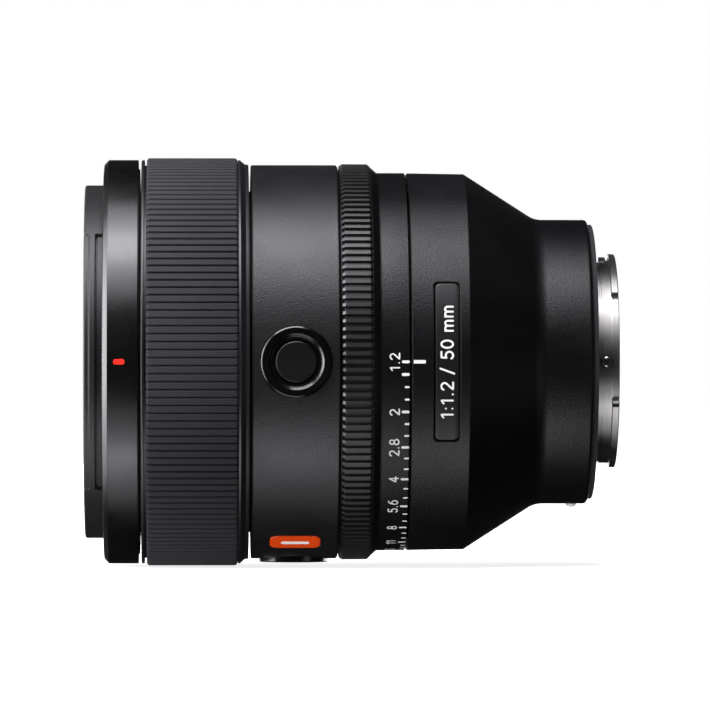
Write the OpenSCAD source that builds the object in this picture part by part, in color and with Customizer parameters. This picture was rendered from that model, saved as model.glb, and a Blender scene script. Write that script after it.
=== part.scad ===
// Full-frame mirrorless 50 mm f/1.2 prime lens, built as an assembly of separate pieces.
// Origin: centre of the mounting flange's face. +X runs along the optical axis to the camera,
// so the front of the lens points to -X. The aperture index faces -Y. +Z is up.
// Angles round the axis start at the index and grow towards -Z (right-handed about +X).

/* [Overall] */
// Length from the mounting flange to the front rim
body_len = 108; // [107:0.5:110]
// Radius of the focus grip, the widest part
grip_r = 43.5; // [43.3:0.1:44]
// Radius of the smooth front ring
front_r = 43.1; // [42.9:0.1:43.2]
// Radius of the middle barrel
mid_r = 42.03; // [41.9:0.05:42.1]
// Radius of the rear barrel and of the aperture scale band
rear_r = 40.3; // [40.2:0.05:40.4]
// Radius of the slim collar before the mount
collar_r = 30.37; // [30.2:0.05:30.6]

/* [Rings] */
// Number of ribs on the focus grip
focus_ribs = 164; // [120:2:200]
// Number of ribs on the aperture ring
aperture_ribs = 154; // [110:2:180]
// Depth of the grooves between the ribs
rib_depth = 0.45; // [0.2:0.05:0.6]

/* [Front] */
// Inner radius of the filter thread, taken at its crests (M72 x 0.75)
filter_r = 35.6; // [35.4:0.1:35.8]
// Outer radius of the rim that the lens hood slides over
rim_r = 37.7; // [37.5:0.1:37.9]
// Length of the hood rim in front of the front ring
rim_len = 4; // [3.8:0.1:4.2]

/* [Mount] */
// Radius of the bayonet tube
bayonet_r = 21.7; // [21.5:0.1:21.9]
// Radius over the bayonet lugs
lug_r = 23.05; // [22.9:0.05:23.1]
// How far the bayonet stands out behind the flange
bayonet_len = 5; // [4.8:0.1:5.2]
// Number of electrical contacts
contacts = 10; // [8:1:11]

/* [Iris] */
// Number of iris blades
blades = 11; // [11:1:11]
// Radius of the fully open iris
iris_open_r = 16.8; // [16.6:0.1:17]
// How far each blade turns from open to closed
blade_turn = 35.6; // [30:0.1:36]
// How far the drive ring turns from open to closed
drive_turn = 16; // [14:0.5:18]

/* [Buttons] */
// Radius of a focus hold button
button_r = 4.3; // [4:0.1:4.5]
// Outer radius of the bezel round it
bezel_r = 7.35; // [7.2:0.05:7.4]

/* [Hidden] */
$fn = 96;

// Stations along the axis, from the front rim (-X) to the mount
z_front = -body_len;
z_shoulder = z_front + rim_len;       // front face of the front ring
z_thread_end = z_shoulder + 0.6;       // back of the filter thread
z_front_end = -96.58;                 // back of the front ring
z_focus = -96.0;                      // front of the focus ring
z_grip = -94.9;                       // front of the focus grip
z_grip_end = -75.5;
z_focus_end = -73.25;
z_mid = -72.74;                       // middle barrel
z_mid_end = -54.5;
z_aperture = -54.2;                   // aperture ring
z_knurl_end = -47.5;
z_band = -45.95;                      // start of the scale band
z_aperture_end = -39.9;
z_rear = -39.6;                       // rear barrel
z_cone = -27.3;                       // where the rear barrel starts to narrow
z_button = (z_mid + z_mid_end) / 2;

bore_r = 34.2;                        // inner radius of the chassis tube
chassis_r = 36.4;                     // outer radius of the chassis tube
focus_bearing_r = 39;                 // bore of the focus ring
aperture_bearing_r = 38.2;            // bore of the aperture ring
running = 0.05;                       // radial clearance of a running fit
gap = 0.1;                            // clearance round a part that slides or drops in
rod_r = 1;                            // guide rods
rod_at = 30.5;
rod_angles = [0, 180];

// Iris: z positions are of the rear face of the drive ring and of the base plate
iris_base_z = -47.5;
blade_t = 0.12;
blade_pitch = 0.17;
pivot_at = 25;                        // radius of the circle of blade pivots
pivot_r = 0.45;
drive_pin_r = 0.4;
drive_pin_at = 25.3;                  // radius of the drive pins with the iris open
drive_pin_lag = 8;                    // degrees between a blade's pivot and its drive pin
blade_outer_r = 23.5;
blade_sweep = 100;                    // degrees that a blade's arc covers
blade_step = 360 / blades;
drive_z = -49.5;
drive_t = 0.6;
drive_inner_r = 24.3;
gear_module = 0.3;
ring_teeth = 194;                     // teeth of the full circle, of which a sector is cut
pinion_teeth = 14;
ring_pitch_r = gear_module * ring_teeth / 2;
pinion_pitch_r = gear_module * pinion_teeth / 2;
pinion_at = ring_pitch_r + pinion_pitch_r;
pinion_angle = 330;
sector = [-4, 19];                    // angles between which the ring is toothed
pressure_angle = 20;

// Focus motors: [angle, front z, back z] of each stator
stators = [[60, -69, -52.5], [240, -69, -52.5], [120, -46, -30], [300, -46, -30]];

// Colours
matte_black = "#1b1b1d";
gloss_black = "#0c0c0e";
rubber_black = "#232325";
steel = "#b9babd";
brass = "#c9a24a";
glass = [0.62, 0.72, 0.78, 0.45];

// ---------- Shared shapes ----------

// Turns the local Z axis into +X and the local X axis into the index direction (-Y)
module along_axis() {
    rotate([0, 90, 0]) rotate([0, 0, -90]) children();
}

// A solid of revolution about the optical axis, from [radius, x] points
module turned(points) {
    along_axis() rotate_extrude() polygon(points);
}

// A tube between two stations
module tube(inner, outer, z1, z2) {
    turned([[inner, z1], [outer, z1], [outer, z2], [inner, z2]]);
}

// Puts children, drawn with +Z outwards and +X along the axis, at a station and an angle
module on_barrel(angle, z) {
    along_axis() rotate([0, 0, angle]) translate([0, 0, z]) rotate([0, 90, 0])
        rotate([0, 0, 180]) children();
}

// A rod along the optical axis
module axial_rod(r, at, angle, z1, z2) {
    along_axis() rotate([0, 0, angle]) translate([at, 0, z1]) cylinder(r = r, h = z2 - z1);
}

// A block along the axis: from radius r1 to r2, width across, between two stations
module axial_block(angle, r1, r2, width, z1, z2) {
    along_axis() rotate([0, 0, angle]) translate([r1, -width / 2, z1]) cube([r2 - r1, width, z2 - z1]);
}

// A sector of a tube
module tube_sector(inner, outer, z1, z2, from, to) {
    intersection() {
        tube(inner, outer, z1, z2);
        along_axis() translate([0, 0, z1]) linear_extrude(z2 - z1)
            polygon(concat([[0, 0]], [for (i = [0 : 6]) let (a = from + (to - from) * i / 6)
                2 * outer * [cos(a), sin(a)]]));
    }
}

module rounded_rect(length, width, r) {
    square([length - 2 * r, width], center = true);
    square([length, width - 2 * r], center = true);
    for (x = [-1, 1], y = [-1, 1])
        translate([x * (length / 2 - r), y * (width / 2 - r)]) circle(r);
}

// How far a spherical surface of radius r has curved at height h
function sag(r, h) = r - sqrt(r * r - h * h);

// A sphere on the axis, fine enough for an optical surface
module ball(z, r) {
    along_axis() translate([0, 0, z]) sphere(r, $fn = 240);
}

// A lens element. Vertices are stations on the axis. A positive front radius bulges to the
// front and a positive rear radius bulges to the rear; a negative one is hollow; 0 is flat.
module element(z1, z2, r_front, r_rear, edge_r) {
    front_edge = r_front == 0 ? z1 : z1 + sign(r_front) * sag(abs(r_front), edge_r);
    rear_edge = r_rear == 0 ? z2 : z2 - sign(r_rear) * sag(abs(r_rear), edge_r);
    a = min(z1, front_edge) - (r_front == 0 ? 0 : 0.5);
    b = max(z2, rear_edge) + (r_rear == 0 ? 0 : 0.5);
    color(glass) difference() {
        intersection() {
            along_axis() translate([0, 0, a]) cylinder(r = edge_r, h = b - a);
            if (r_front > 0) ball(z1 + r_front, r_front);
            if (r_rear > 0) ball(z2 - r_rear, r_rear);
        }
        if (r_front < 0) ball(z1 + r_front, -r_front);
        if (r_rear < 0) ball(z2 - r_rear, -r_rear);
    }
}

// Outline of a ribbed sleeve: flat-topped ribs with sloping sides
function ribbed_outline(r, depth, ribs, top = 0.52, floor = 0.2) = [
    for (i = [0 : ribs - 1]) let (step = 360 / ribs)
        for (p = [[-top / 2, 0], [top / 2, 0], [0.5 - floor / 2, depth], [0.5 + floor / 2, depth]])
            (r - p[1]) * [cos(step * (i + p[0])), sin(step * (i + p[0]))]
];

// ---------- Front ----------

// Rim with the filter thread inside and the hood's bayonet grooves outside
module filter_ring() {
    groove = 1.4;
    color(matte_black) difference() {
        turned([[filter_r, z_front + 0.4], [filter_r + 0.4, z_front], [rim_r - 0.3, z_front],
            [rim_r, z_front + 0.3], [rim_r, z_shoulder], [36.9, z_shoulder],
            [36.9, z_shoulder + 2], [filter_r + 0.8, z_shoulder + 2],
            [filter_r + 0.8, z_thread_end], [filter_r, z_thread_end]]);
        for (a = [0, 180])
            tube_sector(rim_r - 0.95, rim_r + 1, z_shoulder - groove, z_shoulder + 0.001, a - 42, a + 42);
    }
}

// Smooth ring between the hood rim and the focus ring
module front_ring() {
    color(gloss_black)
        turned([[36.9, z_shoulder], [42.35, z_shoulder], [front_r, z_shoulder + 1.1],
            [front_r, z_front_end - 0.25], [front_r - 0.25, z_front_end], [41.1, z_front_end],
            [41.1, z_shoulder + 2], [36.9, z_shoulder + 2]]);
}

// Retaining ring that holds the front element, with stepped light baffles
module name_ring() {
    steps = 6;
    top = [filter_r + 0.3, z_thread_end + 0.15];
    foot = [30.9, -95.6];
    color(matte_black)
        turned(concat(
            [[filter_r + 0.8, top[1]]],
            [for (i = [0 : steps - 1], k = [0, 1])
                [top[0] + (foot[0] - top[0]) * (i + 1) / steps,
                    top[1] + (foot[1] - top[1]) * (i + k) / steps]],
            [[foot[0], -94.7], [31.5, -94.7], [31.5, -95], [bore_r, -95], [bore_r, -102],
                [filter_r + 0.8, -102]]));
}

// Holder of the front lens group, a sliding fit in the chassis tube
module front_cell() {
    color(matte_black) difference() {
        turned([[31.5, -95], [bore_r, -95], [bore_r, -69.2], [24.2, -69.2], [24.2, -70.1],
            [25.5, -70.1], [25.5, -84.2], [28.5, -84.2], [28.5, -92.1], [31.5, -92.1]]);
        for (a = rod_angles) axial_rod(rod_r, rod_at, a, -75, -69);
    }
}

module lens_1() { element(-100.5, -94.9, 80, -180, 31.5); }
module lens_2() { element(-93.2, -86.93, 60, -150, 28.5); }

// Cemented pair: a biconvex crown and a biconcave flint that share a surface
module lens_3_4() {
    element(-86.2, -77, 70, 110, 25.5);
    color(glass) difference() {
        along_axis() translate([0, 0, -80.5]) cylinder(r = 25.5, h = 10.4);
        ball(-77 - 110, 110);
        ball(-75.6 + 55, 55);
    }
}

// ---------- Chassis and rings ----------

// Inner tube that everything is fixed to, with bearing ribs for the two rings
module chassis_tube() {
    focus_rib = focus_bearing_r - running;
    aperture_rib = aperture_bearing_r - running;
    color("#4a4b4e")
        turned([[bore_r, -102], [41.1, -102], [41.1, -96.3], [chassis_r, -96.3],
            [chassis_r, -95.5], [focus_rib, -95.5], [focus_rib, -92.5], [chassis_r, -92.5],
            [chassis_r, -77.5], [focus_rib, -77.5], [focus_rib, -74.5], [chassis_r, -74.5],
            [chassis_r, -72.2], [40.2, -72.2], [40.2, -70.5], [chassis_r, -70.5],
            [chassis_r, -56.3], [40.2, -56.3], [40.2, -54.7], [chassis_r, -54.7],
            [chassis_r, -53.5], [aperture_rib, -53.5], [aperture_rib, -51.5], [chassis_r, -51.5],
            [chassis_r, -43.5], [aperture_rib, -43.5], [aperture_rib, -41.5], [chassis_r, -41.5],
            [chassis_r, -31], [38.3, -31], [38.3, -29.5], [bore_r, -29.5]]);
}

module focus_ring() {
    color(gloss_black)
        turned([[focus_bearing_r, z_focus], [front_r - 0.12, z_focus], [front_r, z_focus + 0.12],
            [front_r, z_focus + 0.55], [42.1, z_focus + 0.75], [42.1, z_grip], [41.5, z_grip],
            [41.5, z_grip_end], [front_r, z_grip_end], [42.15, z_grip_end + 1.2],
            [42.15, z_focus_end], [focus_bearing_r, z_focus_end]]);
}

// Rubber sleeve on the focus ring
module focus_grip() {
    color(rubber_black) intersection() {
        along_axis() translate([0, 0, z_grip]) linear_extrude(z_grip_end - z_grip) difference() {
            polygon(ribbed_outline(grip_r, rib_depth, focus_ribs));
            circle(41.5);
        }
        turned([[0, z_grip], [grip_r - 0.5, z_grip], [grip_r, z_grip + 0.5],
            [grip_r, z_grip_end - 0.7], [grip_r - 0.4, z_grip_end], [0, z_grip_end]]);
    }
}

module mid_barrel() {
    color(matte_black) difference() {
        turned([[40.2, z_mid], [mid_r - 0.15, z_mid], [mid_r, z_mid + 0.15],
            [mid_r, z_mid_end - 0.4], [mid_r - 0.4, z_mid_end], [40.2, z_mid_end]]);
        for (a = [0, 90]) on_barrel(a, z_button) translate([0, 0, 39]) cylinder(r = bezel_r + 0.08, h = 5);
        on_barrel(65.5, z_button) translate([0, 0, mid_r - 0.5])
            linear_extrude(2) rounded_rect(11, 6.4, 1.6);
    }
}

// Plain enamelled badge with rounded corners, let into the barrel
module badge() {
    color("#d8480f") intersection() {
        tube(mid_r - 0.35, mid_r + 0.1, z_mid, z_mid_end);
        on_barrel(65.5, z_button) translate([0, 0, mid_r - 2])
            linear_extrude(3) rounded_rect(10.8, 6.2, 1.5);
    }
}

// Raised rings round the two focus hold buttons
module button_bezels() {
    color(gloss_black) for (a = [0, 90]) intersection() {
        tube(40.2, mid_r + 0.85, z_mid, z_mid_end);
        on_barrel(a, z_button) translate([0, 0, 38]) difference() {
            cylinder(r = bezel_r, h = 6);
            translate([0, 0, -1]) cylinder(r = button_r + gap, h = 8);
        }
    }
}

// Push button: a flat cap on a shoulder that stops behind the bezel
module focus_hold_button(angle) {
    color(matte_black) on_barrel(angle, z_button) {
        translate([0, 0, 39.5]) cylinder(r = button_r, h = 3.15);
        translate([0, 0, 38]) cylinder(r = button_r + 0.7, h = 1.6);
    }
}
module focus_hold_button_top() { focus_hold_button(0); }
module focus_hold_button_side() { focus_hold_button(90); }

module aperture_ring() {
    color(matte_black)
        turned([[aperture_bearing_r, z_aperture + 0.1], [40.9, z_aperture + 0.1], [40.9, z_knurl_end],
            [42.2 - 0.6, z_knurl_end], [rear_r + 0.05, z_band], [rear_r + 0.05, z_aperture_end - 0.3],
            [rear_r - 0.25, z_aperture_end], [aperture_bearing_r, z_aperture_end]]);
}

// Ribbed front part of the aperture ring
module aperture_grip() {
    r = 42.23;
    color(rubber_black) intersection() {
        along_axis() translate([0, 0, z_aperture]) linear_extrude(z_knurl_end - z_aperture) difference() {
            polygon(ribbed_outline(r, rib_depth + 0.1, aperture_ribs, 0.46, 0.24));
            circle(40.9);
        }
        turned([[0, z_aperture], [r - 0.65, z_aperture], [r, z_aperture + 0.65],
            [r, -48.1], [r - 0.6, z_knurl_end], [0, z_knurl_end]]);
    }
}

// ---------- Focus groups ----------

// Carrier of a moving lens group: a ring with two sleeves on the guide rods and two coil arms
module focus_frame(z1, z2, profile, coil_angles) {
    color(matte_black) difference() {
        union() {
            turned(profile);
            for (a = rod_angles) {
                axial_rod(2.2, rod_at, a, z1 + 1, z2 - 1);
                axial_block(a, 25, rod_at - 1.6, 3, z1 + 1, z2 - 1);
            }
            for (a = coil_angles) axial_block(a, 25.5, 27.2, 7, z1 + 1, z2 - 1);
        }
        for (a = rod_angles) axial_rod(rod_r + running, rod_at, a, z1, z2);
    }
}

module focus_frame_front() {
    focus_frame(-64.5, -51.9,
        [[21.5, -64.5], [26, -64.5], [26, -51.9], [19, -51.9], [19, -52.2], [20.5, -52.2],
            [20.5, -61.5], [21.5, -61.5]],
        [60, 240]);
}
module lens_5() { element(-67.5, -61.5, 55, 0, 21.5); }
module lens_6_7() {
    element(-61, -55.5, 75, 120, 20.5);
    color(glass) difference() {
        along_axis() translate([0, 0, -57.8]) cylinder(r = 20.5, h = 5.6);
        ball(-55.5 - 120, 120);
        ball(-54.2 + 90, 90);
    }
}

module focus_frame_rear() {
    focus_frame(-43.9, -27.2,
        [[19.5, -43.9], [26, -43.9], [26, -27.2], [18, -27.2], [18, -27.4], [19.5, -27.4]],
        [120, 300]);
}
module lens_8_9() {
    color(glass) difference() {
        along_axis() translate([0, 0, -43.8]) cylinder(r = 19.5, h = 7.5);
        ball(-40.6 - 60, 60);
        ball(-39.2 + 80, 80);
    }
    element(-39.2, -32.9, 80, 70, 19.5);
}
module lens_10() { element(-32.3, -30.2, 60, -70, 19.5); }

// Flat moving coils, two on each focus frame
module focus_coils(angles, z1, z2) {
    color("#b3652e") for (a = angles) difference() {
        axial_block(a, 27.2, 29.4, 8, z1, z2);
        axial_block(a, 27, 30, 3, z1 + 2.5, z2 - 2.5);
    }
}
module focus_coils_front() { focus_coils([60, 240], -63, -53.5); }
module focus_coils_rear() { focus_coils([120, 300], -42.5, -30.5); }

// Magnets of the four linear motors, each on its yoke
module focus_motor_stators() {
    for (s = stators) {
        color("#8d9096") axial_block(s[0], 29.8, 31.6, 8.6, s[1], s[2]);
        color("#5d6066") axial_block(s[0], 31.6, 33.9, 8.6, s[1], s[2]);
    }
}

// Two rods that the focus frames slide on
module guide_rods() {
    color(steel) for (a = rod_angles) axial_rod(rod_r, rod_at, a, -75, -24.3);
}

// ---------- Iris ----------

// Front plate, with a boss that the drive ring turns on
module iris_cover() {
    color("#2b2c2f") difference() {
        turned([[17, -51], [bore_r, -51], [bore_r, -50.2], [drive_inner_r - running, -50.2],
            [drive_inner_r - running, drive_z], [22.5, drive_z], [22.5, -50.2], [17, -50.2]]);
        for (a = rod_angles) axial_rod(rod_r + gap, rod_at, a, -52, -46);
        axial_rod(0.5, pinion_at, pinion_angle, -52, -50);
    }
}

// Rear plate with the blade pivots' holes, and the wall round the blades
module iris_base() {
    color("#2b2c2f") difference() {
        turned([[32, -50.2], [bore_r, -50.2], [bore_r, -46.5], [16.9, -46.5],
            [16.9, iris_base_z], [32, iris_base_z]]);
        for (k = [0 : blades - 1]) axial_rod(pivot_r + running, pivot_at, k * blade_step, -48, -46);
        for (a = rod_angles) axial_rod(rod_r + gap, rod_at, a, -52, -46);
        axial_rod(pinion_pitch_r + 0.5, pinion_at, pinion_angle, -51, iris_base_z);
    }
}

// Where a blade's drive pin is, in the plane of the iris, when the blade has turned by t degrees
function drive_pin(t) =
    let (p = [pivot_at, 0],
        d = drive_pin_at * [cos(-drive_pin_lag), sin(-drive_pin_lag)] - p)
    p + [d[0] * cos(t) - d[1] * sin(t), d[0] * sin(t) + d[1] * cos(t)];

function turn(p, t) = [p[0] * cos(t) - p[1] * sin(t), p[0] * sin(t) + p[1] * cos(t)];

// Centre line of a cam slot, seen from the drive ring, at share s of the travel.
// The ring turns backwards by drive_turn while the blade closes by blade_turn.
function cam_point(s) = turn(drive_pin(blade_turn * s), drive_turn * s);
function cam_normal(s) =
    let (d = cam_point(s + 0.01) - cam_point(s - 0.01)) [-d[1], d[0]] / norm(d);

// Ring whose curved slots swing all the blades together
module iris_drive_ring() {
    half = drive_pin_r + running;
    n = 8;
    slot = concat(
        [for (i = [-1 : n + 1]) cam_point(i / n) + half * cam_normal(i / n)],
        [for (i = [n + 1 : -1 : -1]) cam_point(i / n) - half * cam_normal(i / n)]);
    color("#6a6c70") along_axis() translate([0, 0, drive_z - drive_t])
        linear_extrude(drive_t - running) difference() {
            union() {
                circle(ring_pitch_r - 1.2 * gear_module);
                rotate(pinion_angle) polygon(sector_outline());
            }
            circle(drive_inner_r);
            for (k = [0 : blades - 1]) rotate(k * blade_step) polygon(slot);
        }
}

// Involute gear tooth: half the tooth's angle at radius r, for a gear of z teeth
function involute_angle(a) = tan(a) * 180 / PI - a;
function half_tooth(r, z) =
    let (pitch = gear_module * z / 2,
        base = pitch * cos(pressure_angle),
        a = r <= base ? 0 : acos(base / r),
        backlash = 0.03)
    90 / z - backlash / pitch * 180 / PI + involute_angle(pressure_angle) - involute_angle(a);

// One tooth's outline, centred on angle c, from root to tip and back
function tooth(c, z, root, tip) =
    let (n = 3, radii = [for (i = [0 : n]) root + (tip - root) * i / n])
    concat(
        [for (r = radii) let (h = half_tooth(r, z)) r * [cos(c - h), sin(c - h)]],
        [for (i = [n : -1 : 0]) let (r = radii[i], h = half_tooth(r, z)) r * [cos(c + h), sin(c + h)]]);

function sector_outline() =
    let (step = 360 / ring_teeth,
        root = ring_pitch_r - 1.2 * gear_module, tip = ring_pitch_r + 0.6 * gear_module)
    concat([[0, 0]], [for (i = [floor(sector[0] / step) : floor(sector[1] / step)])
        each tooth((i + 0.5) * step, ring_teeth, root, tip)]);

// Pinion on the iris motor's shaft
module iris_pinion() {
    step = 360 / pinion_teeth;
    root = pinion_pitch_r - 0.8 * gear_module;
    tip = pinion_pitch_r + 0.95 * gear_module;
    color(brass) along_axis() rotate([0, 0, pinion_angle]) translate([pinion_at, 0, 0]) {
        translate([0, 0, drive_z - drive_t]) linear_extrude(drive_t - running)
            polygon([for (i = [0 : pinion_teeth - 1]) each tooth(180 + i * step, pinion_teeth, root, tip)]);
        translate([0, 0, -52]) cylinder(r = 0.45, h = 52 + drive_z - drive_t);
    }
}

// Stepping motor in front of the cover
module iris_motor() {
    color("#c3c5c9") difference() {
        axial_rod(2.85, pinion_at, pinion_angle, -58.5, -51);
        axial_rod(0.5, pinion_at, pinion_angle, -52.2, -50.9);
    }
}

// One blade, k from 0, with its pivot pin to the base and its drive pin to the drive ring.
// Each blade lies at its own level, so that the blades pass over each other.
module iris_blade(k) {
    rear = iris_base_z - 0.1 - k * blade_pitch;
    arc = 20;
    outline = concat(
        [for (i = [0 : arc]) let (a = blade_sweep * i / arc) blade_outer_r * [cos(a), sin(a)]],
        [for (i = [arc : -1 : 0]) let (a = blade_sweep * i / arc) iris_open_r * [cos(a), sin(a)]]);
    tail = drive_pin(0);
    color("#17181a") along_axis() rotate([0, 0, k * blade_step]) {
        translate([0, 0, rear - blade_t]) linear_extrude(blade_t) {
            polygon(outline);
            polygon([[20, -1.2], [pivot_at + 1.1, -1.2], [pivot_at + 1.1, 0.6], [22.9, 5], [20, 5]]);
            polygon([[pivot_at, -0.9], [pivot_at, 0.9], [tail[0], tail[1] + 0.9], [tail[0], tail[1] - 0.9]]
                + [[-0.5, 0], [0.9, 0], [0.8, 0], [-0.8, 0]]);
            translate([pivot_at, 0]) circle(1.2);
            translate(tail) circle(0.9);
        }
        translate([pivot_at, 0, rear - 0.01]) cylinder(r = pivot_r, h = iris_base_z + 0.6 - rear);
        translate([tail[0], tail[1], drive_z - drive_t + 0.05])
            cylinder(r = drive_pin_r, h = rear - drive_z + drive_t - 0.05 - 0.01);
    }
}

// ---------- Rear ----------

// Slot and recess of a sliding switch, cut from the rear barrel
module switch_recess() {
    translate([0, 0, 38.9]) linear_extrude(3) rounded_rect(4.6, 9.4, 1);
    translate([0, 0, 37]) linear_extrude(3) rounded_rect(1.7, 5, 0.8);
}

switch_z = -34.3;
af_mf_angle = 118;
iris_lock_angle = -104;
click_angle = -124;
label_x = [-35, -29.3];            // the label's two long edges
label_across = 33.4;

// Rear barrel: scale index part, cone and collar, with the seats of the rear pieces
module rear_barrel() {
    slope = 0.6415;                   // fall of the cone's radius for each millimetre
    fillet = 5.5;
    cone_angle = atan(slope);
    cone_r = rear_r - 0.18;
    z_sharp = z_cone + (cone_r - collar_r) / slope;
    tangent = fillet * tan(cone_angle / 2);
    n = 5;
    color(matte_black) difference() {
        turned(concat(
            [[38.3, z_rear], [rear_r - 0.35, z_rear], [rear_r, z_rear + 0.3], [cone_r, z_cone]],
            [for (i = [0 : n]) let (a = cone_angle * (1 - i / n))
                [collar_r + fillet * (1 - cos(a)), z_sharp + tangent - fillet * sin(a)]],
            [for (i = [0 : 3]) let (a = 30 * i)
                [collar_r - 0.85 + 0.85 * cos(a), -1.75 + 0.85 * sin(a)]],
            [[28.3, -0.9], [28.3, -1.6], [24, -1.6], [24, -8], [27.6, -8], [27.6, -13],
                [34.5, -22.5], [34.5, -24.3], [36.2, -24.3], [36.2, -27.5], [38.3, -28.2]]));
        for (a = [af_mf_angle, iris_lock_angle, click_angle]) on_barrel(a, switch_z) switch_recess();
        label_shape(0, rear_r - 0.55, rear_r + 1);
        for (a = [45 : 90 : 315]) axial_rod(1, 26, a, -7, -1);
        on_barrel(90, -4.25) translate([0, 0, collar_r - 0.6]) cylinder(r = 1.17, h = 2);
    }
}

// A curved plate with rounded corners, or the pocket for it
module label_shape(inset, inner, outer) {
    length = label_x[1] - label_x[0] - 2 * inset;
    intersection() {
        on_barrel(0, (label_x[0] + label_x[1]) / 2) translate([0, 0, 30])
            linear_extrude(15) rounded_rect(length, label_across - 2 * inset, 1 - inset / 2);
        tube(inner, outer, -38, -28);
    }
}

// Plate that carries the lens's markings, let into the rear barrel
module label_plate() {
    color(matte_black) label_shape(0.3, rear_r - 0.55, rear_r - 0.1);
}

// Sliding knob with three grip ribs and a stem through the barrel
module switch_knob(angle) {
    color(matte_black) on_barrel(angle, switch_z) {
        translate([-1.8, -1.2 - 2.4, 39]) cube([3.6, 4.8, 0.7]);
        for (y = [-3.2, -1.5, 0.2]) translate([-1.8, y, 39.7]) cube([3.6, 0.6, 0.35]);
        translate([-0.65, -2.2, 37.4]) cube([1.3, 2, 1.7]);
    }
}
module af_mf_knob() { switch_knob(af_mf_angle); }
module iris_lock_knob() { switch_knob(iris_lock_angle); }
module click_knob() { switch_knob(click_angle); }

// Holder of the rear lens group
module rear_cell() {
    color(matte_black) difference() {
        turned([[20.5, -26.3], [36.2, -26.3], [36.2, -24.3], [23.5, -24.3], [23.5, -3], [18.4, -3],
            [18.4, -3.1], [19.5, -3.1], [19.5, -6.4], [20, -6.4], [20, -13.2], [20.5, -13.2]]);
        for (a = rod_angles) axial_rod(rod_r, rod_at, a, -27, -24);
    }
}
module lens_11_12() {
    element(-25.6, -17.8, 70, 60, 20.5);
    color(glass) difference() {
        along_axis() translate([0, 0, -21.9]) cylinder(r = 20.5, h = 7.9);
        ball(-17.8 - 60, 60);
        ball(-16.4 + 80, 80);
    }
}
module lens_13() { element(-9.3, -7.9, -55, -200, 20); }
module lens_14() { element(-6.3, -4.6, 100, -130, 19.5); }

// Ring-shaped circuit board with its chips
module main_board() {
    color("#1f4d33") tube(24, 34.5, -24.3, -23.2);
    color("#222222") for (a = [20 : 40 : 340]) axial_block(a, 26.5, 31, 5, -23.2, -22.2);
}

// Steel mount: the flange, the bayonet tube and its three lugs
module mount_plate() {
    lugs = [[-95, -39.5], [21, 78], [140, 200]];
    color(steel) difference() {
        union() {
            turned([[20.2, -1.6], [28.3, -1.6], [28.3, 0], [bayonet_r, 0],
                [bayonet_r, bayonet_len], [20.2, bayonet_len]]);
            for (l = lugs) tube_sector(bayonet_r - 0.4, lug_r, bayonet_len - 1.5, bayonet_len, l[0], l[1]);
            tube_sector(bayonet_r - 0.4, bayonet_r + 0.75, 0, 2.7, -97, -82);
        }
        for (a = [45 : 90 : 315]) {
            axial_rod(1, 26, a, -2, 1);
            axial_rod(1.7, 26, a, -0.8, 1);
        }
        for (a = [0, 120, 240]) on_barrel(a, 2.1) {
            translate([0, 0, 18]) cylinder(r = 0.7, h = 6);
            translate([0, 0, 20.95]) cylinder(r = 1.35, h = 3);
        }
        along_axis() rotate([0, 0, 112]) translate([24.6, 0, -1]) cylinder(r = 1.1, h = 3);
    }
}

// Cross-recessed screw, head at the top and shank downwards from z = 0
module screw(head_r, head_h, shank_r, length) {
    difference() {
        union() {
            cylinder(r = head_r, h = head_h);
            translate([0, 0, -length]) cylinder(r = shank_r, h = length + 0.01);
        }
        for (a = [0, 90]) rotate([0, 0, a])
            translate([-head_r * 0.6, -0.17, head_h - 0.3]) cube([head_r * 1.2, 0.34, 1]);
    }
}

module mount_screws() {
    color(steel) for (a = [45 : 90 : 315])
        along_axis() rotate([0, 0, a]) translate([26, 0, -0.8]) screw(1.65, 0.75, 0.95, 6);
}

// Radial screws that hold the rear baffle in the bayonet tube
module baffle_screws() {
    color(steel) for (a = [0, 120, 240]) on_barrel(a, 2.1) translate([0, 0, 20.95])
        screw(1.3, 0.6, 0.65, 2.4);
}

// Rubber lip round the mount
module mount_gasket() {
    color(rubber_black) turned([[28.3, -0.9], [29.3, -0.9], [29.3, 0.05], [29, 0.15], [28.3, 0]]);
}

// Plastic light baffle inside the bayonet, with the block that carries the contacts
module rear_baffle() {
    color(matte_black) difference() {
        union() {
            turned([[18, -2.9], [20.2, -1.6], [20.2, 4.4], [19.4, 4.4], [18, 2.4]]);
            tube_sector(16.6, 19.6, 0, bayonet_len - 0.2, 148, 212);
        }
        for (a = [0, 120, 240]) on_barrel(a, 2.1) translate([0, 0, 18.4]) cylinder(r = 0.65, h = 4);
        for (i = [0 : contacts - 1]) contact_place(i) translate([-0.65, -0.55, 0]) cube([1.3, 1.1, 2]);
    }
}

module contact_place(i) {
    step = 5.6;
    along_axis() rotate([0, 0, 180 + step * (i - (contacts - 1) / 2)])
        translate([17.9, 0, bayonet_len - 0.8]) children();
}

module contact_pins() {
    color(brass) for (i = [0 : contacts - 1])
        contact_place(i) translate([-0.6, -0.5, 0]) cube([1.2, 1, 0.68]);
}

// White dot that is lined up with the camera's before the lens is turned
module mount_index_dot() {
    color("white") on_barrel(90, -4.25) translate([0, 0, collar_r - 0.6]) {
        cylinder(r = 1.15, h = 1);
        translate([0, 0, 1]) intersection() {
            cylinder(r = 1.15, h = 0.45);
            translate([0, 0, -1.2]) sphere(1.65);
        }
    }
}

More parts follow.
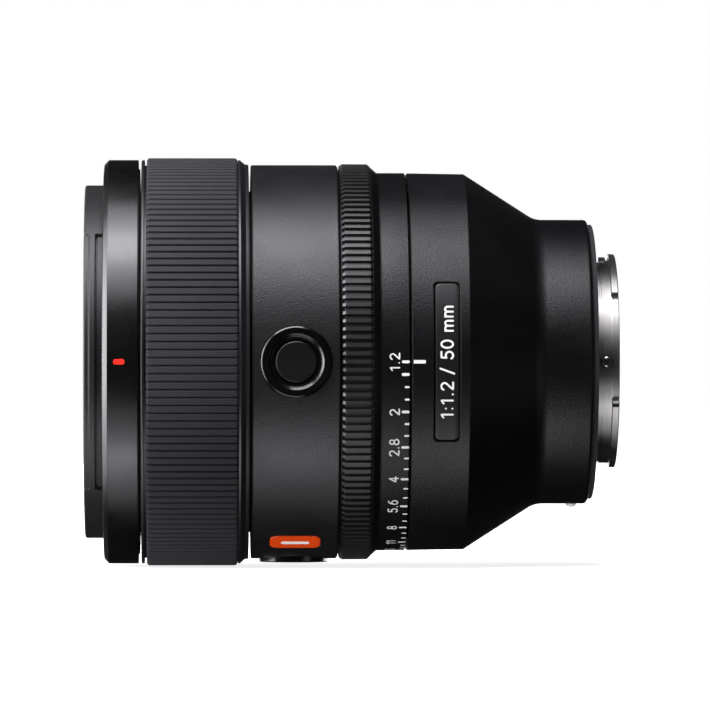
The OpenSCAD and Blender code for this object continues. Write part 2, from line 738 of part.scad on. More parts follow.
filter_ring();
front_ring();
name_ring();
front_cell();
lens_1();
lens_2();
lens_3_4();
chassis_tube();
focus_ring();
focus_grip();
mid_barrel();
badge();
button_bezels();
focus_hold_button_top();
focus_hold_button_side();
aperture_ring();
aperture_grip();
focus_frame_front();
lens_5();
lens_6_7();
focus_coils_front();
iris_cover();
iris_base();
iris_motor();
iris_pinion();
iris_drive_ring();
for (k = [0 : blades - 1]) iris_blade(k);
focus_frame_rear();
lens_8_9();
lens_10();
focus_coils_rear();
guide_rods();
focus_motor_stators();
rear_barrel();
label_plate();
af_mf_knob();
iris_lock_knob();
click_knob();
rear_cell();
lens_11_12();
lens_13();
lens_14();
main_board();
mount_plate();
mount_screws();
mount_gasket();
rear_baffle();
contact_pins();
baffle_screws();
mount_index_dot();
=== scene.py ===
import math

import bpy
import numpy as np
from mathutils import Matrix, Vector


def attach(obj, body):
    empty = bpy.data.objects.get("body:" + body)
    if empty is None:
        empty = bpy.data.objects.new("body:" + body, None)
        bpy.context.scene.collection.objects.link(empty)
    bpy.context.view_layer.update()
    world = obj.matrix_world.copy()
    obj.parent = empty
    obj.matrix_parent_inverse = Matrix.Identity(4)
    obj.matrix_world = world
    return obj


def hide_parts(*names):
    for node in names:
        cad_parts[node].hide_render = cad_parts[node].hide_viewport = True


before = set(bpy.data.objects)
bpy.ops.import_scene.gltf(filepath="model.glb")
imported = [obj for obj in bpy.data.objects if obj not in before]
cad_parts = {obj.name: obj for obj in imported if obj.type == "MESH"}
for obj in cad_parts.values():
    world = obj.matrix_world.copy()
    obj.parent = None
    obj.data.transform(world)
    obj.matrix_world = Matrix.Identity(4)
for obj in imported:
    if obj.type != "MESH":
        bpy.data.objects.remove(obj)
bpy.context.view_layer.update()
print("frame loaded", len(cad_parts), "nodes")

# A 50 mm f/1.2 autofocus lens. X runs along the optical axis towards the camera, the flange face is x = 0,
# and angles round the axis start at the index (-Y) and grow towards -Z. Lengths below are in millimetres.
mm = 0.001


# One mesh object in the shared frame's metres, riding its body
def makeObject(name, points, faces, body, material, sharpAngle=32):
    mesh = bpy.data.meshes.new(name)
    mesh.from_pydata(np.asarray(points, float) * mm, [], faces)
    mesh.polygons.foreach_set("use_smooth", np.ones(len(mesh.polygons), bool))
    mesh.update()
    mesh.validate()
    mesh.set_sharp_from_angle(angle=math.radians(sharpAngle))
    mesh.materials.append(material)
    piece = bpy.data.objects.new(name, mesh)
    bpy.context.scene.collection.objects.link(piece)
    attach(piece, body)
    return piece


# Quads between neighbouring rows and columns of a grid, closed round in either direction when asked
def gridFaces(rows, columns, closeRows=False, closeColumns=False, flip=False):
    i = np.arange(rows if closeRows else rows - 1)[:, None]
    j = np.arange(columns if closeColumns else columns - 1)[None, :]
    a = i * columns + j
    b = i * columns + (j + 1) % columns
    c = ((i + 1) % rows) * columns + (j + 1) % columns
    d = ((i + 1) % rows) * columns + j
    quads = np.stack([a, d, c, b] if flip else [a, b, c, d], -1).reshape(-1, 4)
    return quads.tolist()


# Numbers of a grid's outermost points, in order round it
def gridRim(rows, columns):
    number = np.arange(rows * columns).reshape(rows, columns)
    return np.concatenate([number[0], number[1:, -1], number[-1, -2::-1], number[-2:0:-1, 0]])


# A closed slab from two grids of the same size, one over the other, joined round their rim
def slabFaces(rows, columns, flip=False):
    top = np.array(gridFaces(rows, columns, flip=not flip))
    rim = gridRim(rows, columns)
    rim = rim if not flip else rim[::-1]
    sides = np.stack([rim, rim + rows * columns, np.roll(rim, -1) + rows * columns, np.roll(rim, -1)], -1)
    return np.vstack([top, top[:, ::-1] + rows * columns, sides]).tolist()


# Every corner (x, r, fillet) of an outline becomes an arc tangent to both its sides:
# the arc starts and ends fillet * tan(turn / 2) from the corner, measured along the sides
def roundedOutline(corners, arcSteps=4, closed=True):
    c = np.array([(p + (0,))[:3] for p in corners], float)
    point, fillet = c[:, :2], c[:, 2]
    before = np.roll(point, 1, 0) - point
    after = np.roll(point, -1, 0) - point
    lengthBefore = np.linalg.norm(before, axis=1, keepdims=True)
    lengthAfter = np.linalg.norm(after, axis=1, keepdims=True)
    u, v = before / lengthBefore, after / lengthAfter
    cosine = np.clip((u * v).sum(1), -0.99999, 0.99999)
    inner = np.arccos(cosine)
    reach = fillet / np.tan(inner / 2)
    reach = np.minimum(reach, 0.49 * np.minimum(lengthBefore[:, 0], lengthAfter[:, 0]))
    radius = reach * np.tan(inner / 2)
    middle = point + (u + v) / np.maximum(np.linalg.norm(u + v, axis=1, keepdims=True), 1e-9) \
        * (radius / np.sin(inner / 2))[:, None]
    start, end = point + u * reach[:, None] - middle, point + v * reach[:, None] - middle
    steps = np.linspace(0, 1, arcSteps + 1)[None, :, None]
    sweep = (np.pi - inner)[:, None, None]
    weight = np.maximum(np.sin(sweep), 1e-6)
    arc = (np.sin((1 - steps) * sweep) * start[:, None] + np.sin(steps * sweep) * end[:, None]) / weight
    path = middle[:, None] + arc
    keep = np.ones(path.shape[:2], bool)
    keep[reach < 1e-6, 1:] = False
    path[reach < 1e-6, 0] = point[reach < 1e-6]
    if not closed:
        keep[[0, -1], 1:] = False
        path[0, 0], path[-1, 0] = point[0], point[-1]
    return path[keep]


# Extra points along an outline, so that no step is longer than asked.
# With skin (x from, x to, r from) only the stretches inside those limits get them
def refined(path, longest, closed=True, skin=None):
    ends = np.vstack([path, path[:1]]) if closed else path
    steps = np.diff(ends, axis=0)
    counts = np.maximum(np.ceil(np.linalg.norm(steps, axis=1) / longest).astype(int), 1)
    if skin:
        inside = (ends[:, 0] >= skin[0]) & (ends[:, 0] <= skin[1]) & (ends[:, 1] >= skin[2])
        counts = np.where(inside[:-1] & inside[1:], counts, 1)
    segment = np.repeat(np.arange(len(counts)), counts)
    share = (np.arange(counts.sum()) - np.repeat(np.cumsum(counts) - counts, counts)) / counts[segment]
    dense = ends[segment] + steps[segment] * share[:, None]
    return dense if closed else np.vstack([dense, path[-1:]])


# Angles round the axis in degrees: an even ring, and finer stretches (from, to, step)
def ringAngles(count, finer=()):
    angles = np.arange(count) * 360 / count
    for start, end, step in finer:
        inside = (angles - start) % 360 <= end - start
        fine = np.arange(start, end + step / 2, step) % 360
        angles = np.concatenate([angles[~inside], fine])
    return np.unique(np.round(angles, 5))


# A turned surface: point(s, t) = (x(s), -r cos t, -r sin t), where r = r(s) + rise(x, t, r).
# Rise carves or raises detail on the turned shape, such as ribs, slots and pockets, and shift moves its
# points along the axis
def turnedPoints(path, angles, rise=None, shift=None):
    x = np.repeat(path[:, :1], len(angles), 1)
    r = np.repeat(path[:, 1:], len(angles), 1)
    t = np.repeat(np.radians(angles)[None], len(path), 0)
    bump = rise(x, t, r) if rise else 0
    slide = shift(x, t, r) if shift else 0
    r, x = r + bump, x + slide
    return np.stack([x, -r * np.cos(t), -r * np.sin(t)], -1).reshape(-1, 3)


# Turns an outline of corners (x, r, fillet) about the optical axis. The outline closes on itself
def turned(name, corners, body, material, angles=None, rise=None, shift=None, longest=1e9, arcSteps=4,
           sharp=32, skin=None):
    angles = ringAngles(288) if angles is None else angles
    path = refined(roundedOutline(corners, arcSteps), longest, skin=skin)
    area = 0.5 * np.sum(path[:, 0] * np.roll(path[:, 1], -1) - np.roll(path[:, 0], -1) * path[:, 1])
    points = turnedPoints(path, angles, rise, shift)
    faces = gridFaces(len(path), len(angles), True, True, flip=area > 0)
    return makeObject(name, points, faces, body, material, sharp)


# 1 between start and end, 0 outside, with a straight slope of the given width centred on each limit
def band(value, start, end, slope):
    return np.clip((value - start) / slope + 0.5, 0, 1) * np.clip((end - value) / slope + 0.5, 0, 1)


# 1 up to the limit and 0 past it, with the same kind of slope
def upTo(value, limit, slope):
    return np.clip((limit - value) / slope + 0.5, 0, 1)


# Signed distance to a rectangle with rounded corners, negative inside
def roundedBox(a, b, halfA, halfB, corner):
    qa, qb = np.abs(a) - halfA + corner, np.abs(b) - halfB + corner
    return np.hypot(np.maximum(qa, 0), np.maximum(qb, 0)) + np.minimum(np.maximum(qa, qb), 0) - corner


# Difference of two angles in degrees, from -180 to 180
def angleFrom(t, centre):
    return (np.degrees(t) - centre + 180) % 360 - 180


# Frame of a spot on the barrel: out of the surface, along the axis, and round towards growing angles
def barrelFrame(angle, x):
    a = math.radians(angle)
    out = np.array([0, -math.cos(a), -math.sin(a)])
    around = np.array([0, math.sin(a), -math.cos(a)])
    return out, np.array([1.0, 0, 0]), around, np.array([x, 0, 0])


# Places flat shapes (along, round, height) on the barrel at an angle: the round coordinate stays straight
def onBarrel(points, angle, x):
    out, along, around, origin = barrelFrame(angle, x)
    p = np.asarray(points, float)
    return origin + p[:, :1] * along + p[:, 1:2] * around + p[:, 2:] * out


# Wraps (along, round, radius) on the barrel: the round coordinate becomes an arc of the given radius
def wrapped(points, angle, x, wrapRadius):
    p = np.asarray(points, float)
    t = math.radians(angle) + p[:, 1] / wrapRadius
    return np.stack([x + p[:, 0], -p[:, 2] * np.cos(t), -p[:, 2] * np.sin(t)], -1)


# sRGB channels to linear light: v / 12.92 up to 0.04045, and ((v + 0.055) / 1.055) ^ 2.4 past it
def linear(hexColour):
    value = np.array([int(hexColour[i:i + 2], 16) for i in (1, 3, 5)]) / 255
    low, high = value / 12.92, ((value + 0.055) / 1.055) ** 2.4
    return tuple(float(c) for c in np.where(value <= 0.04045, low, high)) + (1.0,)


# The same hue with every channel at a share of its value
def shaded(hexColour, share):
    return "#%02x%02x%02x" % tuple(int(int(hexColour[i:i + 2], 16) * share) for i in (1, 3, 5))


# A shader node of a material or a world, with its settings, its inputs and its links (source, output, input)
def addNode(owner, kind, links=(), **settings):
    node = owner.node_tree.nodes.new(kind)
    inputs = settings.pop("inputs", {})
    for key, value in settings.items():
        setattr(node, key, value)
    for key, value in inputs.items():
        node.inputs[key].default_value = value
    for source, output, target in links:
        owner.node_tree.links.new(source.outputs[output], node.inputs[target])
    return node


def newMaterial(name, **shaderInputs):
    material = bpy.data.materials.new(name)
    material.use_nodes = True
    material.node_tree.nodes.clear()
    shader = addNode(material, "ShaderNodeBsdfPrincipled", inputs=shaderInputs)
    addNode(material, "ShaderNodeOutputMaterial", [(shader, "BSDF", "Surface")])
    return material, shader


# Fine grain as bump, with a little change of roughness and tone. Grain is its size in millimetres
def addGrain(material, shader, grain, depth, roughness, colours, spread=0.06):
    place = addNode(material, "ShaderNodeTexCoord")
    noise = addNode(material, "ShaderNodeTexNoise", [(place, "Object", "Vector")],
                    inputs={"Scale": 1000 / grain, "Detail": 3.0, "Roughness": 0.55})
    cloud = addNode(material, "ShaderNodeTexNoise", [(place, "Object", "Vector")],
                    inputs={"Scale": 55.0, "Detail": 4.0, "Roughness": 0.6})  # patches 18 mm wide
    bump = addNode(material, "ShaderNodeBump", [(noise, "Fac", "Height")],
                   inputs={"Strength": 1.0, "Distance": depth * mm})
    rough = addNode(material, "ShaderNodeMapRange", [(cloud, "Fac", "Value")],
                    inputs={"From Min": 0.3, "From Max": 0.7,
                            "To Min": roughness - spread, "To Max": roughness + spread})
    tone = addNode(material, "ShaderNodeMix", [(noise, "Fac", 0)], data_type="RGBA")
    tone.inputs[6].default_value, tone.inputs[7].default_value = linear(colours[0]), linear(colours[1])
    links = material.node_tree.links
    links.new(bump.outputs["Normal"], shader.inputs["Normal"])
    links.new(rough.outputs["Result"], shader.inputs["Roughness"])
    links.new(tone.outputs[2], shader.inputs["Base Color"])


# Paint, dyed aluminium, plastic and rubber: a skin that isn't bare metal, with a fine grain
def grainedSkin(name, roughness, colours, grain, depth, specular=0.5):
    material, shader = newMaterial(name, Metallic=0.0, IOR=1.5)
    shader.inputs["Specular IOR Level"].default_value = specular
    addGrain(material, shader, grain, depth, roughness, colours)
    return material


# Satin crinkle paint on aluminium: baked on over a fine primer, so the highlight is broad and softly broken
satinPaint = grainedSkin("satinPaintedAluminium", 0.4, ("#050506", "#0a0a0b"), 0.38, 0.06, specular=0.38)
# The same paint on the aperture ring and the rear barrel, sprayed thinner: darker between its highlights
thinPaint = grainedSkin("thinSatinPaintedAluminium", 0.37, ("#030304", "#060607"), 0.38, 0.06, specular=0.24)
# Smooth satin lacquer of the label: an even, soft sheen without crinkle
labelPaint = grainedSkin("satinLacquer", 0.4, ("#0c0c0d", "#101011"), 0.3, 0.004, specular=0.25)
# The front ring's paint, baked smooth: deep black with a tight, bright highlight
glossPaint = grainedSkin("semiGlossPaintedAluminium", 0.28, ("#010101", "#020202"), 0.4, 0.002)
# Matt anodised aluminium: dyed black, very low sheen, even grain
matAnodised = grainedSkin("mattBlackAnodisedAluminium", 0.47, ("#060607", "#0b0b0c"), 0.25, 0.008,
                          specular=0.42)
# Turned and anodised aluminium of the focus ring: a fine tool grain, a little brighter on its crests
turnedAnodised = grainedSkin("turnedBlackAnodisedAluminium", 0.4, ("#08080a", "#0e0e10"), 0.18, 0.003)
# Knurl: bead-blasted before dyeing, so it is greyer and drier than the turned faces
knurlAnodised = grainedSkin("blastedBlackAnodisedAluminium", 0.46, ("#0a0a0b", "#121213"), 0.25, 0.008,
                            specular=0.42)
# Moulded nitrile rubber: dark grey, dry, with the fine matt of the mould
gripRubber = grainedSkin("mouldedRubber", 0.8, ("#1c1b1e", "#252427"), 0.3, 0.012, specular=0.28)
# Moulded polycarbonate with an etched grain: the button caps and switch knobs
buttonPlastic = grainedSkin("mouldedPolycarbonate", 0.38, ("#030303", "#070707"), 0.35, 0.03,
                            specular=0.24)
# Gloss moulded polycarbonate: polished bezel edges
glossPlastic = grainedSkin("polishedPolycarbonate", 0.2, ("#020202", "#040404"), 0.3, 0.001)


# Ink and enamel: flat colours with a little gloss, pad printed or filled by hand
def inkMaterial(name, colour, roughness):
    material, shader = newMaterial(name, IOR=1.5)
    addGrain(material, shader, 0.35, 0.001, roughness, (shaded(colour, 0.93), colour), 0.04)
    return material


whiteInk = inkMaterial("whitePrintedInk", "#e6e6e4", 0.5)  # a dry film: clean white without gloss
orangeEnamel = inkMaterial("orangeEnamel", "#d84410", 0.28)  # filled and baked: smooth, a little glossy
redInk = inkMaterial("redPrintedInk", "#e8281c", 0.4)  # the same dry film in red
whiteDot = inkMaterial("whiteMouldedAcrylic", "#f2f2f0", 0.22)  # coloured through: glossy white


# Turned or ground metal: the tool's scratches run round the axis and stretch its highlights
def turnedMetal(name, colour, roughness, metallic=1.0):
    material, shader = newMaterial(name, Metallic=metallic)
    place = addNode(material, "ShaderNodeTexCoord")
    apart = addNode(material, "ShaderNodeSeparateXYZ", [(place, "Object", "Vector")])
    links = material.node_tree.links
    squareY = addNode(material, "ShaderNodeMath", [(apart, "Y", 0), (apart, "Y", 1)], operation="MULTIPLY")
    squareZ = addNode(material, "ShaderNodeMath", [(apart, "Z", 0), (apart, "Z", 1)], operation="MULTIPLY")
    total = addNode(material, "ShaderNodeMath", [(squareY, 0, 0), (squareZ, 0, 1)], operation="ADD")
    radius = addNode(material, "ShaderNodeMath", [(total, 0, 0)], operation="SQRT")
    spot = addNode(material, "ShaderNodeCombineXYZ", [(radius, 0, "X"), (apart, "X", "Y")])
    lines = addNode(material, "ShaderNodeTexNoise", [(spot, 0, "Vector")],
                    inputs={"Scale": 9000.0, "Detail": 4.0, "Roughness": 0.7})  # scratches 0.1 mm apart
    smear = addNode(material, "ShaderNodeTexNoise", [(place, "Object", "Vector")],
                    inputs={"Scale": 120.0, "Detail": 3.0})  # wiped patches 8 mm wide
    bump = addNode(material, "ShaderNodeBump", [(lines, "Fac", "Height")],
                   inputs={"Strength": 1.0, "Distance": 0.003 * mm})
    rough = addNode(material, "ShaderNodeMapRange", [(smear, "Fac", "Value")],
                    inputs={"From Min": 0.3, "From Max": 0.7,
                            "To Min": roughness - 0.06, "To Max": roughness + 0.08})
    tone = addNode(material, "ShaderNodeMix", [(lines, "Fac", 0)], data_type="RGBA")
    tone.inputs[6].default_value = linear(colour)
    tone.inputs[7].default_value = linear(shaded(colour, 0.86))
    links.new(bump.outputs["Normal"], shader.inputs["Normal"])
    links.new(rough.outputs["Result"], shader.inputs["Roughness"])
    links.new(tone.outputs[2], shader.inputs["Base Color"])
    return material


# Bayonet and flange: stainless steel from the lathe, bright but softened by its fine rings
mountSteel = turnedMetal("turnedStainlessSteel", "#8f8e8c", 0.31)
rodSteel = turnedMetal("groundSteelRod", "#b5b6b8", 0.2)  # ground: bright, with a narrow highlight
motorSteel = turnedMetal("nickelPlatedSteel", "#a9aaac", 0.32)  # plated stampings: a soft grey sheen
goldPlate = turnedMetal("goldPlatedContact", "#d8b36a", 0.22)  # thin plate on brass: warm and bright
copperWire = turnedMetal("enamelledCopperWire", "#b4633a", 0.3)  # varnished copper: a deep orange
# Bevels cut after dyeing: bare metal under clear lacquer, so they catch the light as short bright dashes
cutEdge = turnedMetal("lacqueredCutAluminium", "#555557", 0.36)
# Iris blades and their ring: a dry black coat that leaves a little of the steel's sheen
bladeSteel = turnedMetal("blackCoatedBladeSteel", "#26262a", 0.42, 0.6)
# Inner tubes: dyed as dark as it goes, and dry, so that they throw no light into the glass
chassisMetal = grainedSkin("blackAnodisedChassis", 0.6, ("#030303", "#060606"), 0.3, 0.004, specular=0.2)
# Moulded nylon with glass fibre: dark grey, with the fibres as a fine grain
framePlastic = grainedSkin("glassFilledNylon", 0.55, ("#121213", "#1a1a1b"), 0.4, 0.01)
# Lacquered circuit board: green, with the copper under it as a slow mottle
boardResin = grainedSkin("solderMask", 0.35, ("#0b3a1e", "#12502b"), 1.5, 0.004)


# Optical glass with a multilayer coating: clear, and the coating tints what little it reflects
def coatedGlass(name, colour, coatTint, ior):
    material, shader = newMaterial(name, IOR=ior, Roughness=0.0)
    shader.inputs["Base Color"].default_value = linear(colour)
    shader.inputs["Transmission Weight"].default_value = 1.0
    shader.inputs["Specular Tint"].default_value = linear(coatTint)
    return material


glassFront = coatedGlass("coatedCrownGlass", "#f6fbf8", "#264f3d", 1.6)  # reflects green
glassInner = coatedGlass("coatedFlintGlass", "#f8faff", "#44386a", 1.5)  # reflects violet
glassRear = coatedGlass("coatedRearGlass", "#f8fbff", "#3a4a70", 1.5)  # reflects blue


# Gives the named CAD nodes one look
def paint(material, *nodes):
    for node in nodes:
        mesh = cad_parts[node].data
        mesh.materials.clear()
        mesh.materials.append(material)


# Pieces whose shape stays as in the CAD
paint(chassisMetal, "chassis_tube", "front_cell", "rear_cell", "iris_base", "iris_cover")
paint(framePlastic, "focus_frame_front", "focus_frame_rear", "rear_baffle")
paint(glassFront, "lens_1", "lens_2")
paint(glassInner, "lens_3_4", "lens_5", "lens_6_7", "lens_8_9", "lens_10", "lens_11_12", "lens_13")
paint(glassRear, "lens_14")
paint(rodSteel, "guide_rods", "mount_screws")
paint(motorSteel, "iris_motor", "focus_motor_stators")
paint(goldPlate, "contact_pins", "iris_pinion")
paint(copperWire, "focus_coils_front", "focus_coils_rear")
paint(boardResin, "main_board")
paint(bladeSteel, "iris_drive_ring", *["iris_blade_%d" % k for k in range(1, 12)])
print("CAD pieces painted")


# Hood rim. Its two outer grooves take a hood's bayonet, its inside takes a filter
filterRing = {"grooveFront": -105.5, "grooveBack": -103, "grooveDepth": 0.65, "grooveHalfAngle": 45.2,
              "cornerWidth": 0.34, "cornerDepth": 0.5, "entryStep": -106.8, "entryDepth": 0.25,
              "threadFront": -107.5, "threadBack": -103.45, "threadPitch": 0.75, "threadDepth": 0.3}


# Outside, each groove sinks the rim, with a deeper corner line at its front wall and a shallow entry ahead of
# it. Inside, the thread is a saw wave that climbs one pitch each turn
def filterRingRise(x, t, r):
    front = filterRing["grooveFront"]
    near = np.minimum(np.abs(angleFrom(t, 0)), np.abs(angleFrom(t, 180)))
    inSlot = upTo(near, filterRing["grooveHalfAngle"], 0.7)
    groove = band(x, front, filterRing["grooveBack"], 0.1) * inSlot * filterRing["grooveDepth"]
    corner = band(x, front, front + filterRing["cornerWidth"], 0.05) * inSlot * filterRing["cornerDepth"]
    entry = upTo(x, filterRing["entryStep"], 0.42) * inSlot * filterRing["entryDepth"]
    turns = (x + 108) / filterRing["threadPitch"] - t / (2 * np.pi)
    wave = 2 * np.abs(turns % 1 - 0.5)
    threaded = band(x, filterRing["threadFront"], filterRing["threadBack"], 0.3) * (r < 36)
    return np.where(r > 37, -groove - corner - entry, threaded * (1 - wave) * filterRing["threadDepth"])


slotSides = [centre + side * filterRing["grooveHalfAngle"] for centre in (0, 180) for side in (-1, 1)]
slotEnds = [(end - 0.5, end + 0.5, 0.05) for end in slotSides]
rimOutline = [(-108, 35.95, 0.1), (-108, 37.4, 0.12), (-107.72, 37.68, 0.2), (-103.9, 37.68), (-103.9, 36.9),
              (-102, 36.9), (-102, 36.4), (-103.4, 36.4), (-103.4, 35.6), (-107.6, 35.6)]
rim = turned("filterRim", rimOutline, "barrel", matAnodised, ringAngles(432, slotEnds), filterRingRise,
             longest=0.12)
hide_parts("filter_ring")

frontOutline = [(-104, 36.9), (-103.98, 41.95, 0.05), (-103.82, 42.25, 0.1), (-102.95, 43.1, 0.2),
                (-96.58, 43.1, 0.12), (-96.58, 41.1), (-102, 41.1), (-102, 36.9)]
frontRing = turned("frontRing", frontOutline, "barrel", glossPaint, arcSteps=6)
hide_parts("front_ring")

# Name ring: equal light-trap steps between the thread and the first element
nameSteps = {"count": 6, "front": -103.25, "depth": 7.65, "outer": 35.9, "inner": 30.9}
step = np.arange(nameSteps["count"])
treads = nameSteps["outer"] + (nameSteps["inner"] - nameSteps["outer"]) * (step + 1) / nameSteps["count"]
risers = nameSteps["front"] + nameSteps["depth"] * np.stack([step, step + 1], -1) / nameSteps["count"]
nameOutline = [(nameSteps["front"], 36.4), (nameSteps["front"], nameSteps["outer"])]
nameOutline += [(float(x), float(r), 0.08) for r, pair in zip(treads, risers) for x in pair]
nameOutline += [(-94.7, 30.9), (-94.7, 31.5), (-95, 31.5), (-95, 34.2), (-102, 34.2), (-102, 36.4)]
nameRing = turned("nameRing", nameOutline, "barrel", matAnodised, arcSteps=2)
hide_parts("name_ring")
print("front done")


# Focus ring: a metal ring, and a rubber sleeve with straight ribs
focusRing = {"ribs": 164, "ribDepth": 0.42, "flatShare": 0.66}

focusOutline = [(-96, 39), (-96, 42.88, 0.03), (-95.78, 43.1, 0.05), (-95.38, 43.1, 0.06), (-95.3, 42.95),
                (-95.3, 41.9), (-94.9, 41.9), (-94.9, 41.5), (-75.5, 41.5), (-75.5, 43.05, 0.05),
                (-75.05, 43.1, 0.1), (-74.0, 42.2, 0.1), (-73.25, 42.1, 0.12), (-73.25, 39)]
focusMetal = turned("focusRingMetal", focusOutline, "focus_ring", turnedAnodised)
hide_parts("focus_ring")


# Angles at the same shares of every rib's pitch, counted from the rib's middle
def ribAngles(ribs, shares):
    return ((np.arange(ribs)[:, None] + np.array(shares)[None]) * 360 / ribs).ravel()


# With u the share of a pitch from the rib's middle: 0 on the flat, then a straight wall to 1 in the groove
def grooveShare(t, ribs, flat, wall):
    u = np.abs((t * ribs / (2 * np.pi) + 0.5) % 1 - 0.5)
    return np.clip((u - flat / 2) / wall, 0, 1)


def focusRibs(x, t, r):
    groove = grooveShare(t, focusRing["ribs"], focusRing["flatShare"], 0.5 - focusRing["flatShare"] / 2)
    return -focusRing["ribDepth"] * groove * (r > 42.8)


ribShares = [-0.38, -0.33, -0.29, -0.1, 0.1, 0.29, 0.33, 0.38, 0.44, 0.5]
gripOutline = [(-94.85, 41.6), (-94.85, 43.1, 0.08), (-94.45, 43.5, 0.15), (-76.0, 43.5, 0.15),
               (-75.6, 43.15, 0.08), (-75.6, 41.6)]
grip = turned("focusGrip", gripOutline, "focus_ring", gripRubber, ribAngles(focusRing["ribs"], ribShares),
              focusRibs, arcSteps=2, sharp=28)
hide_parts("focus_grip")
print("focus ring done")


# Middle barrel
middle = {"buttonX": -63.62, "buttonAngles": (0, 90), "holeRadius": 7.42, "holeDepth": 1.5,
          "badgeAngle": 65.2, "badgeX": -63.5, "badgeLength": 10.7, "badgeWidth": 6.2, "badgeCorner": 1.7,
          "badgeGap": 0.08, "badgeDepth": 0.4}


# Pockets in the barrel: round ones under the buttons, a rounded rectangle under the badge.
# Each sinks the skin where the signed distance to its outline is negative
def middleRise(x, t, r):
    sink = 0
    for angle in middle["buttonAngles"]:
        turn = angleFrom(t, angle)
        away = np.hypot(x - middle["buttonX"], r * np.sin(np.radians(turn)))
        away = np.where(np.abs(turn) < 40, away, 99)
        sink = sink + middle["holeDepth"] * np.clip((middle["holeRadius"] - away) / 0.1, 0, 1)
    around = np.radians(angleFrom(t, middle["badgeAngle"])) * r
    edge = roundedBox(x - middle["badgeX"], around, middle["badgeLength"] / 2 + middle["badgeGap"],
                      middle["badgeWidth"] / 2 + middle["badgeGap"], middle["badgeCorner"])
    sink = sink + middle["badgeDepth"] * np.clip(-edge / 0.08, 0, 1)
    return np.where(r > 41.2, -sink, 0)


middleAngles = ringAngles(288, [(0, 11.5, 0.2), (348.5, 359.9, 0.2), (60, 70.5, 0.12), (78.5, 101.5, 0.2)])
middleOutline = [(-72.74, 40.2), (-72.74, 41.84), (-72.46, 42.03, 0.03), (-54.62, 42.03, 0.3),
                 (-54.3, 41.63, 0.1), (-54.3, 40.2)]
barrel = turned("middleBarrel", middleOutline, "barrel", satinPaint, middleAngles, middleRise, longest=0.22,
                skin=(-73, -54, 41.5))
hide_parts("mid_barrel")


# A plate with rounded corners, wrapped on the barrel. At a distance v across, its half length is
# a(v) = length / 2 - corner + sqrt(corner ^ 2 - w ^ 2), where w is how far v is into the corner, and the
# top rounds off over the edge as a quarter circle of the distance to the outline
def roundedPlate(name, body, material, angle, x, length, width, corner, top, bottom, edge=0.0,
                 squareEnd=False):
    turn = np.linspace(0, np.pi / 2, 7)
    ends = width / 2 - corner * (1 - np.cos(turn))
    straight = np.linspace(-ends[-1], ends[-1], max(int(width / 0.7), 2) + 1)
    v = np.concatenate([-ends[:-1], straight, ends[-2::-1]])
    into = np.maximum(np.abs(v) - (width / 2 - corner), 0)
    half = length / 2 - corner + np.sqrt(np.maximum(corner ** 2 - into ** 2, 0))
    inset = np.array([0, 0.15, 0.5, 1.0]) * max(edge, 0.04)
    share = np.linspace(-1, 1, max(int(length / 0.7), 2) + 1)[1:-1]
    core = (half - inset[-1])[:, None] * share
    u = np.hstack([-half[:, None] + inset, core, half[:, None] - inset[::-1]])
    if squareEnd:  # the front end, so that the far end alone is round
        u = np.where(u < 0, u * (length / 2) / half[:, None], u)
    across = np.repeat(v[:, None], u.shape[1], 1)
    depth = np.clip(-roundedBox(u, across, length / 2, width / 2, corner) / max(edge, 1e-6), 0, 1)
    height = top - edge * (1 - np.sqrt(1 - (1 - depth) ** 2))
    upper = np.stack([u, across, height], -1).reshape(-1, 3)
    lower = upper.copy()
    lower[:, 2] = bottom
    points = wrapped(np.vstack([upper, lower]), angle, x, top)
    rows, columns = u.shape
    return makeObject(name, points, slabFaces(rows, columns), body, material)


badge = {"height": 42.12, "foot": 41.7, "edge": 0.16, "stripeLength": 6.0, "stripeWidth": 1.3}
enamel = roundedPlate("enamelBadge", "barrel", orangeEnamel, middle["badgeAngle"], middle["badgeX"],
                      middle["badgeLength"], middle["badgeWidth"], middle["badgeCorner"],
                      badge["height"], badge["foot"], badge["edge"])
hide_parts("badge")
stripe = roundedPlate("badgeStripe", "barrel", whiteInk, middle["badgeAngle"], middle["badgeX"],
                      badge["stripeLength"], badge["stripeWidth"], badge["stripeWidth"] * 0.45,
                      badge["height"] + 0.02, badge["height"] - 0.1)


# An outline (distance from its own axis, height) spun about that axis
def spun(path, count):
    phase = np.arange(count) * 2 * np.pi / count
    rho, height = path[:, :1], np.repeat(path[:, 1:], count, 1)
    return np.stack([rho * np.cos(phase), rho * np.sin(phase), height], -1).reshape(-1, 3)


# Faces of a spun shape whose first and last rings are closed by a cap each
def cappedFaces(rows, count, flip=True):
    first, last = list(range(count)), list(range((rows - 1) * count, rows * count))
    caps = [first, last[::-1]] if flip else [first[::-1], last]
    return gridFaces(rows, count, False, True, flip) + caps


# Buttons: outlines spun about the button's own axis, with heights counted from the lens's axis
def spunButton(name, corners, angle, body, material, tube=False, count=128):
    path = roundedOutline(corners, 6, closed=tube)
    faces = gridFaces(len(path), count, True, True, flip=True) if tube else cappedFaces(len(path), count)
    return makeObject(name, onBarrel(spun(path, count), angle, middle["buttonX"]), faces, body, material, 40)


